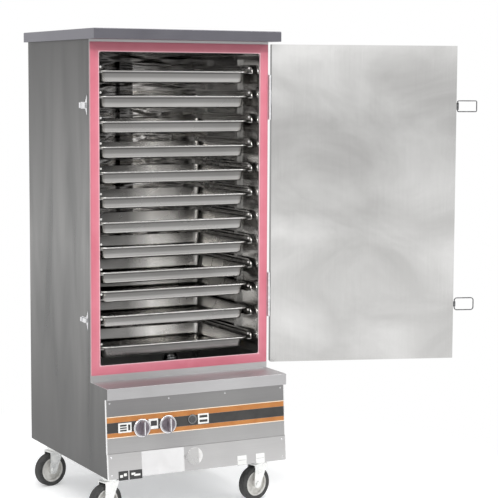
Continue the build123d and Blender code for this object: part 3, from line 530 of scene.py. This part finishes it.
def add_plate(bm, place, width, height, thickness, edge=0.0003, mark=0):
    # A thin plate lying on the XY plane of place, its back at height zero.
    made = bmesh.ops.create_cube(bm, size=1.0)
    verts = made["verts"]
    bmesh.ops.scale(bm, vec=(width, height, thickness), verts=verts)
    bmesh.ops.translate(bm, vec=(0, 0, thickness / 2), verts=verts)
    edges = list({line for vert in verts for line in vert.link_edges})
    made = bmesh.ops.bevel(bm, geom=edges, offset=edge, segments=2, profile=0.5, affect="EDGES",
                           material=-1)
    faces = set(made["faces"])
    grown = {face for vert in made["verts"] for face in vert.link_faces}
    faces |= grown
    for face in faces:
        face.material_index = mark
    bmesh.ops.transform(bm, matrix=place, verts=list({vert for face in faces for vert in face.verts}))


CONTROL_TOP = Vector((0, -0.432, 0.440))
CONTROL_FOOT = Vector((0, -0.444, 0.252))
ACCESS_TOP = Vector((0, -0.447, 0.252))
ACCESS_FOOT = Vector((0, -0.456, 0.165))


def on_panel(top, foot, x, z, lift=0.0):
    # Frame of a point on a sloping panel: X right, Y up the panel, Z out of it.
    up = (top - foot).normalized()
    out = Vector((1, 0, 0)).cross(up)
    share = (top.z - z) / (top.z - foot.z)
    spot = top.lerp(foot, share) + Vector((x, 0, 0)) + out * lift
    turn = Matrix((Vector((1, 0, 0)), up, out)).transposed().to_4x4()
    return Matrix.Translation(spot) @ turn


# The panels carry painted shade: lighter low on the access panel, darker up the control panel, darkest near
# its top.
panel_steel = stainless("panel_steel", (0.54, 0.53, 0.535), (0.62, 0.615, 0.61), 0.28, 0.40, ALONG_X,
                        wave_size=3.0,
                        painted_light=(("Z", ((0.165, 0.89), (0.25, 0.86), (0.255, 0.70), (0.31, 0.66),
                                       (0.385, 0.45), (0.436, 0.50), (0.44, 0.50)), 0.0),))
dress("control_panel", panel_steel)
dress("access_panel", panel_steel)
band_black = plain_finish("band_black", (0.022, 0.021, 0.020), (0.035, 0.033, 0.031), 0.28, 0.4, 25.0)
band_orange = plain_finish("band_orange", (0.37, 0.133, 0.027), (0.43, 0.17, 0.038), 0.3, 0.42, 25.0)
band_edge = plain_finish("band_edge", (0.80, 0.62, 0.45), (0.88, 0.72, 0.55), 0.3, 0.42, 25.0)
BAND_LENGTH = 0.696
FOIL_THICK = 0.0004
FOIL_EDGE = 0.0001
BAND_STRIPES = (("band_middle", 0.3235, 0.3585, band_black),
                ("band_orange_above", 0.359, 0.377, band_orange),
                ("band_orange_below", 0.3085, 0.323, band_orange),
                ("band_edge_above", 0.3775, 0.380, band_edge),
                ("band_edge_below", 0.3055, 0.308, band_edge))
for stripe_name, low, high, stripe_ink in BAND_STRIPES:
    stripe = bmesh.new()
    stripe_place = on_panel(CONTROL_TOP, CONTROL_FOOT, 0, (low + high) / 2)
    add_plate(stripe, stripe_place, BAND_LENGTH, high - low, FOIL_THICK, edge=FOIL_EDGE)
    piece_from(stripe, stripe_name, [stripe_ink], "cabinet")

# Bent edges of the burner box: the front sheets are folded round the cheeks and screwed to them. A thin
# bright rod along each fold is a painted highlight of the bent edge.
painted_fold_highlight = plain_finish("painted_fold_highlight", (0.86, 0.86, 0.86), (0.95, 0.95, 0.95), 0.12, 0.2, 20.0,
                          metallic=0.9)
FOLD_RADIUS = 0.0026
FOLD_AXIS_X = 0.3495
for side, side_name in ((-1, "left"), (1, "right")):
    for top, foot, part_name in ((CONTROL_TOP, CONTROL_FOOT, "upper"), (ACCESS_TOP, ACCESS_FOOT, "lower")):
        fold = bmesh.new()
        length = (top - foot).length
        bmesh.ops.create_cone(fold, cap_ends=True, segments=16, radius1=FOLD_RADIUS, radius2=FOLD_RADIUS,
                              depth=length)
        along = on_panel(top, foot, side * FOLD_AXIS_X, (top.z + foot.z) / 2)
        upright = along @ Matrix.Rotation(math.radians(90), 4, "X")
        bmesh.ops.transform(fold, matrix=upright, verts=fold.verts)
        piece_from(fold, "box_edge_highlight_%s_%s" % (side_name, part_name), [painted_fold_highlight], "cabinet")


# Printed labels of the band and the small stickers low on the box: white foil with plain black bars.
# The words of the real ones are left out.
LABEL_THICK = 0.0005
PRINT_EDGE = 0.00008


def marked_label(name, place, width, height, bars, back, ink, frame_width=0.0):
    label = bmesh.new()
    add_plate(label, place, width, height, LABEL_THICK, edge=FOIL_EDGE)
    for bar_x, bar_y, bar_width, bar_height in bars:
        spot = place @ Matrix.Translation((bar_x * width, bar_y * height, 0.0004))
        add_plate(label, spot, bar_width * width, bar_height * height, 0.0003, edge=PRINT_EDGE, mark=1)
    if frame_width:
        for shift_x, shift_y, edge_width, edge_height in (
                (0, 0.5, width, frame_width), (0, -0.5, width, frame_width),
                (0.5, 0, frame_width, height), (-0.5, 0, frame_width, height)):
            spot = place @ Matrix.Translation((shift_x * width, shift_y * height, 0.0003))
            add_plate(label, spot, edge_width, edge_height, 0.0004, edge=PRINT_EDGE, mark=1)
    return piece_from(label, name, [back, ink], "cabinet")


label_white = plain_finish("label_white", (0.66, 0.66, 0.64), (0.74, 0.74, 0.72), 0.35, 0.5, 30.0)
label_black = plain_finish("label_black", (0.02, 0.02, 0.02), (0.035, 0.035, 0.035), 0.35, 0.5, 30.0)
outline_grey = plain_finish("outline_grey", (0.40, 0.40, 0.40), (0.50, 0.50, 0.50), 0.35, 0.5, 30.0)
TWO_BARS = ((0, 0.22, 0.74, 0.24), (0, -0.22, 0.74, 0.24))
DIAL_BARS = ((-0.12, 0.24, 0.5, 0.18), (-0.12, -0.02, 0.5, 0.14), (-0.12, -0.27, 0.5, 0.16),
             (0.32, 0, 0.16, 0.6))
BAND_LABELS = (("band_label_left", -0.280, 0.3385, 0.050, 0.034, DIAL_BARS),
               ("band_label_middle", -0.172, 0.3425, 0.036, 0.036, ((0.05, 0.05, 0.66, 0.5),)),
               ("band_label_right", 0.022, 0.3435, 0.042, 0.036, TWO_BARS))
for label_name, label_x, label_z, label_width, label_height, label_bars in BAND_LABELS:
    label_place = on_panel(CONTROL_TOP, CONTROL_FOOT, label_x, label_z, FOIL_THICK)
    marked_label(label_name, label_place, label_width, label_height, label_bars, label_white, label_black)
STICKERS = (("sticker_left_outer", -0.293, 0.1745, 0.036, 0.032, label_black, label_white,
             ((-0.2, -0.05, 0.3, 0.28), (0.2, 0.08, 0.3, 0.3)), 0.0),
            ("sticker_left_inner", -0.246, 0.1745, 0.048, 0.032, label_black, label_white,
             ((-0.2, 0.1, 0.3, 0.24), (0.1, -0.05, 0.5, 0.2)), 0.0),
            ("sticker_right_inner", 0.169, 0.181, 0.038, 0.034, label_white, outline_grey,
             ((0, 0, 0.8, 0.06),), 0.0018),
            ("sticker_right_outer", 0.243, 0.181, 0.037, 0.036, label_white, outline_grey,
             ((0, 0, 0.8, 0.06),), 0.0018))
for label_name, label_x, label_z, label_width, label_height, back, ink, label_bars, rim in STICKERS:
    label_place = on_panel(ACCESS_TOP, ACCESS_FOOT, label_x, label_z)
    marked_label(label_name, label_place, label_width, label_height, label_bars, back, ink, rim)

# Data plate: thin blank aluminium foil, painted white and glued on. It is thinner than the gap behind the
# flap beside it, which swings in front of its corner.
plate_white = plain_finish("plate_white", (0.56, 0.555, 0.555), (0.61, 0.605, 0.605), 0.4, 0.55, 14.0)
DATA_PLATE_X = -0.1405
DATA_PLATE_WIDTH = 0.163
DATA_PLATE_LOW = 0.1655
DATA_PLATE_HIGH = 0.2510
DATA_PLATE_THICK = 0.00035
data_plate = bmesh.new()
plate_place = on_panel(ACCESS_TOP, ACCESS_FOOT, DATA_PLATE_X, (DATA_PLATE_LOW + DATA_PLATE_HIGH) / 2)
add_plate(data_plate, plate_place, DATA_PLATE_WIDTH, DATA_PLATE_HIGH - DATA_PLATE_LOW, DATA_PLATE_THICK,
          edge=FOIL_EDGE)
piece_from(data_plate, "data_plate", [plate_white], "cabinet")


# Gas knobs: black moulded grips with a chromed skirt, pushed on the valve stems behind the panel.
# Each has a pale pointer line let into its face.
def knob_finish():
    material, nodes, links, shader = new_material("knob_plastic_and_chrome")
    place, wear = place_wear(nodes, links, 60.0)
    turn = nodes.new("ShaderNodeMapping")
    turn.vector_type = "TEXTURE"
    turn.inputs["Location"].default_value = CONTROL_TOP
    slope = math.atan2(CONTROL_TOP.y - CONTROL_FOOT.y, CONTROL_TOP.z - CONTROL_FOOT.z)
    turn.inputs["Rotation"].default_value = (-slope, 0, 0)
    links.new(place.outputs["Object"], turn.inputs["Vector"])
    split = nodes.new("ShaderNodeSeparateXYZ")
    links.new(turn.outputs["Vector"], split.inputs["Vector"])
    grip = nodes.new("ShaderNodeMapRange")
    grip.inputs["From Min"].default_value = -0.0105
    grip.inputs["From Max"].default_value = -0.0112
    links.new(split.outputs["Y"], grip.inputs["Value"])
    plastic = blend_colours(nodes, links, wear.outputs["Patches"], (0.09, 0.076, 0.09), (0.19, 0.165, 0.19))
    tone = nodes.new("ShaderNodeMix")
    tone.data_type = "RGBA"
    tone.inputs["A"].default_value = (0.80, 0.80, 0.82, 1)
    links.new(grip.outputs["Result"], tone.inputs["Factor"])
    links.new(plastic, tone.inputs["B"])
    links.new(tone.outputs["Result"], shader.inputs["Base Color"])
    links.new(spread_value(nodes, links, grip.outputs["Result"], 1.0, 0.0), shader.inputs["Metallic"])
    links.new(spread_value(nodes, links, grip.outputs["Result"], 0.14, 0.34), shader.inputs["Roughness"])
    links.new(bump_from(nodes, links, wear.outputs["Specks"], 0.0001, 0.4), shader.inputs["Normal"])
    return material


knob_material = knob_finish()
KNOBS = (("gas_knob_left", "left_knob", -0.218, 0.333), ("gas_knob_right", "right_knob", -0.119, 0.337))
pointer_white = plain_finish("pointer_white", (0.72, 0.72, 0.74), (0.85, 0.85, 0.86), 0.25, 0.4, 40.0,
                             metallic=0.6)
KNOB_FACE = 0.0327
POINTER_WIDE = 0.0035
POINTER_LONG = 0.046
POINTER_THICK = 0.0008
for knob_node, knob_body, knob_x, knob_z in KNOBS:
    dress(knob_node, knob_material)
    pointer = bmesh.new()
    pointer_place = on_panel(CONTROL_TOP, CONTROL_FOOT, knob_x, knob_z, KNOB_FACE)
    add_plate(pointer, pointer_place, POINTER_WIDE, POINTER_LONG, POINTER_THICK)
    piece_from(pointer, knob_node + "_pointer", [pointer_white], knob_body)

# Igniter button: black plastic in a dark bezel with a nut behind the panel. The flap over the lighting hole
# is stainless and swings on its rivet; its far side carries a painted highlight, a bright crescent.
bezel_chrome = plain_finish("bezel_chrome", (0.16, 0.16, 0.165), (0.28, 0.28, 0.285), 0.1, 0.2, 40.0,
                            metallic=1.0)
button_black = plain_finish("button_black", (0.03, 0.03, 0.032), (0.06, 0.06, 0.062), 0.2, 0.34, 40.0)
COVER_MIDDLE_X = -0.017
cover_steel = stainless("cover_steel", (0.52, 0.515, 0.51), (0.62, 0.615, 0.61), 0.2, 0.34, ALONG_X,
                        painted_light=(("X", ((-0.09, 0.9), (COVER_MIDDLE_X - 0.02, 1.0),
                                       (COVER_MIDDLE_X + 0.013, 1.0), (COVER_MIDDLE_X + 0.016, 1.5),
                                       (COVER_MIDDLE_X + 0.03, 1.5)), 0.0),))
dress("igniter_body", bezel_chrome)
dress("igniter_button", button_black)
dress("lighting_hole_cover", cover_steel)

# Folded stainless lid, laid over the body and riveted at the back. Its front skirt has a bluish tone; it is
# painted darker than the sides, and the top is painted darker still, as painted shade.
lid_steel = stainless("lid_steel", (0.25, 0.245, 0.28), (0.31, 0.305, 0.34), 0.26, 0.4, ALONG_X,
                      painted_light=(("Y", ((-0.3765, 0.52), (-0.374, 0.52), (-0.373, 0.74), (0.32, 0.74)), 0.0),
                              ("Z", ((1.66, 1.0), (1.7088, 1.0), (1.7096, 0.42), (1.711, 0.42)), 0.0)))
dress("lid", lid_steel)

# The door: a pressed inner skin of bright stainless, a little wavy, and an outer skin whose folded sides
# grip it. The inner skin carries a painted reflection of the room, darkest at eye level.
door_inner_steel = stainless("door_inner_steel", (0.54, 0.535, 0.525), (0.80, 0.795, 0.785), 0.12, 0.26,
                             ALONG_Z, wave_size=2.4, wave_depth=0.015, streak=(1, 1, 1.6),
                             painted_light=(("Z", ((0.5, 1.0), (0.85, 0.99), (1.12, 0.9), (1.38, 0.78), (1.6, 0.9),
                                            (1.67, 0.98)), 0.0),))
dress("door_inner_panel", door_inner_steel)
dress("door_outer_panel", side_steel)

# Hinges with pinned leaves, screwed to body and door: polished steel. The keepers match them, and the
# latches are dark plated brackets with bent wire loops.
fitting_chrome = plain_finish("fitting_chrome", (0.70, 0.70, 0.72), (0.86, 0.86, 0.87), 0.12, 0.25, 60.0,
                              metallic=1.0)
wire_chrome = plain_finish("wire_chrome", (0.06, 0.06, 0.062), (0.20, 0.20, 0.205), 0.14, 0.28, 90.0,
                           metallic=1.0)
for node_name in ("hinge_body_leaves", "hinge_door_leaves", "latch_keepers"):
    dress(node_name, fitting_chrome)
for node_name in ("latch_brackets", "latch_loop_upper", "latch_loop_lower"):
    dress(node_name, wire_chrome)


# Screws of the hinges, brackets, keepers and box panels, and the rivets of the lid and the back: small
# domed steel heads, the screws with a cross slot, drawn on every head as two black bars of painted shade.
def add_screw(bm, place, radius):
    # A low dome on the XY plane of place with two dark bars across it, the painted shade of a cross slot.
    made = bmesh.ops.create_uvsphere(bm, u_segments=16, v_segments=8, radius=radius)
    verts = made["verts"]
    bmesh.ops.scale(bm, vec=(1, 1, 0.45), verts=verts)
    bmesh.ops.transform(bm, matrix=place, verts=verts)
    for angle in (0, 90):
        lifted = Matrix.Translation((0, 0, radius * 0.40))
        cut_place = place @ Matrix.Rotation(math.radians(angle), 4, "Z") @ lifted
        add_plate(bm, cut_place, radius * 1.1, radius * 0.24, radius * 0.07, edge=radius * 0.02, mark=1)


def screw_group(name, places, radius, body):
    screws = bmesh.new()
    for place in places:
        add_screw(screws, place, radius)
    return piece_from(screws, name, [fitting_chrome, label_black], body)


def facing(spot, out, up=Vector((0, 0, 1))):
    # Frame at a spot with Z along out.
    out = Vector(out).normalized()
    across = up.cross(out).normalized()
    return Matrix.Translation(spot) @ Matrix((across, out.cross(across), out)).transposed().to_4x4()


BOX_SCREW = 0.0032
LEAF_SCREW = 0.0035
THIN_SCREW = 0.003
SMALL_SCREW = 0.0028
CONTROL_SCREW_Z = 0.4275
screw_group("control_panel_screws",
            [on_panel(CONTROL_TOP, CONTROL_FOOT, x, CONTROL_SCREW_Z) for x in (-0.335, -0.11, 0.11, 0.335)],
            BOX_SCREW, "cabinet")
screw_group("access_panel_screws",
            [on_panel(ACCESS_TOP, ACCESS_FOOT, x, z) for x in (-0.335, 0.335) for z in (0.177, 0.240)],
            BOX_SCREW, "cabinet")
HINGE_FEET = (0.672, 1.394)
BODY_LEAF_FACE = 0.352
BODY_LEAF_Y = -0.276
screw_group("hinge_body_screws",
            [facing((BODY_LEAF_FACE, BODY_LEAF_Y, foot + rise), (1, 0, 0))
             for foot in HINGE_FEET for rise in (0.03, 0.081, 0.132)],
            LEAF_SCREW, "cabinet")
DOOR_TURN = math.radians(180 + 161)
DOOR_ALONG = Vector((math.cos(DOOR_TURN), math.sin(DOOR_TURN), 0))
DOOR_OUT = Vector((-math.sin(DOOR_TURN), math.cos(DOOR_TURN), 0))
HINGE_AXIS = Vector((0.354, -0.3076, 0))
DOOR_LEAF_FACE = HINGE_AXIS + DOOR_ALONG * 0.0042 + DOOR_OUT * 0.021
screw_group("hinge_door_screws",
            [facing(DOOR_LEAF_FACE + Vector((0, 0, foot + rise)), -DOOR_ALONG)
             for foot in HINGE_FEET for rise in (0.03, 0.132)],
            THIN_SCREW, "door")
BRACKET_FACE = HINGE_AXIS + DOOR_ALONG * 0.7015 + DOOR_OUT * 0.017
LATCH_MIDDLES = (1.444, 0.7035)
screw_group("latch_bracket_screws",
            [facing(BRACKET_FACE + Vector((0, 0, middle + rise)), DOOR_ALONG)
             for middle in LATCH_MIDDLES for rise in (-0.025, 0.025)],
            SMALL_SCREW, "door")
KEEPER_FACE = -0.352
KEEPER_Y = -0.279
screw_group("keeper_screws",
            [facing((KEEPER_FACE, KEEPER_Y, z), (-1, 0, 0)) for z in (1.424, 1.471, 0.676, 0.718)],
            SMALL_SCREW, "cabinet")
LID_BACK_Y = 0.315
LID_RIVET_Z = 1.692
screw_group("lid_back_rivets",
            [facing((x, LID_BACK_Y, LID_RIVET_Z), (0, 1, 0)) for x in (-0.3, -0.1, 0.1, 0.3)],
            LEAF_SCREW, "cabinet")
BACK_FACE_Y = 0.3
screw_group("back_panel_screws",
            [facing((x, BACK_FACE_Y, z), (0, 1, 0))
             for x in (-0.335, 0.335) for z in (0.19, 0.56, 0.93, 1.30, 1.64)],
            LEAF_SCREW, "cabinet")

# Twelve pressed trays with rolled rims, drawn from thin stainless; scratched along their length by use.
# Their walls carry painted shade, darkest just under the rim, and their insides a painted reflection.
TRAY_COUNT = 12
TRAY_PITCH = 0.08855
TRAY_RIM_Z = 1.568
RAISED_RIM_Z = 1.5889
RAISED_TRAYS = (10, 11)


def tray_steel(name, rim_z):
    # The Z stops of painted shade count down from the rim: bead, dark line under it, grey wall, pale lower
    # wall. Across, the left end of the front is painted lighter as a painted highlight.
    painted_wall_shade = [(rim_z - depth, factor) for depth, factor in
                     ((0.0, 1.0), (0.0045, 0.9), (0.0065, 0.22), (0.009, 0.25), (0.011, 0.46),
                      (0.022, 0.56), (0.029, 0.92), (0.0425, 1.0), (0.088, 1.0))]
    across = ((-0.31, 1.0), (-0.284, 1.0), (-0.276, 0.78), (0.2, 0.8), (0.31, 0.9))
    material = stainless(name, (0.50, 0.49, 0.475), (0.66, 0.65, 0.635), 0.18, 0.32, ALONG_X, wave_size=8.0,
                         wave_depth=0.002, streak=(1, 1, 1.5),
                         painted_light=(("Z", painted_wall_shade, TRAY_PITCH), ("X", across, 0.0)))
    nodes = material.node_tree.nodes
    links = material.node_tree.links
    base_colour = nodes["Principled BSDF"].inputs["Base Color"]
    place, wear = place_wear(nodes, links, 6.0)
    # Behind the front wall the inside is painted bright, with a painted reflection: dark on the left, a
    # bright patch right of the middle and a bright line at the right corner.
    behind_front = shade_along(nodes, links, place, "Y", ((-0.234, 0.0), (-0.228, 1.0)))
    inside_painted_light = blend_colours(nodes, links, wear.outputs["Patches"], (0.90, 0.885, 0.86), (0.98, 0.965, 0.94))
    painted_reflection = shade_along(nodes, links, place, "X",
                           ((-0.31, 0.24), (-0.02, 0.28), (0.05, 0.7), (0.08, 1.0), (0.18, 1.0), (0.23, 0.6),
                            (0.266, 0.6), (0.272, 1.0), (0.279, 1.0), (0.283, 0.45), (0.31, 0.5)))
    bright = multiply_colours(nodes, links, inside_painted_light, painted_reflection)
    tone = nodes.new("ShaderNodeMix")
    tone.data_type = "RGBA"
    links.new(behind_front, tone.inputs["Factor"])
    links.new(base_colour.links[0].from_socket, tone.inputs["A"])
    links.new(bright, tone.inputs["B"])
    links.new(tone.outputs["Result"], base_colour)
    return material


tray_on_runners = tray_steel("tray_on_runners", TRAY_RIM_Z)
tray_on_rods = tray_steel("tray_on_rods", RAISED_RIM_Z)
for number in range(1, TRAY_COUNT + 1):
    dress("tray_%02d" % number, tray_on_rods if number in RAISED_TRAYS else tray_on_runners)
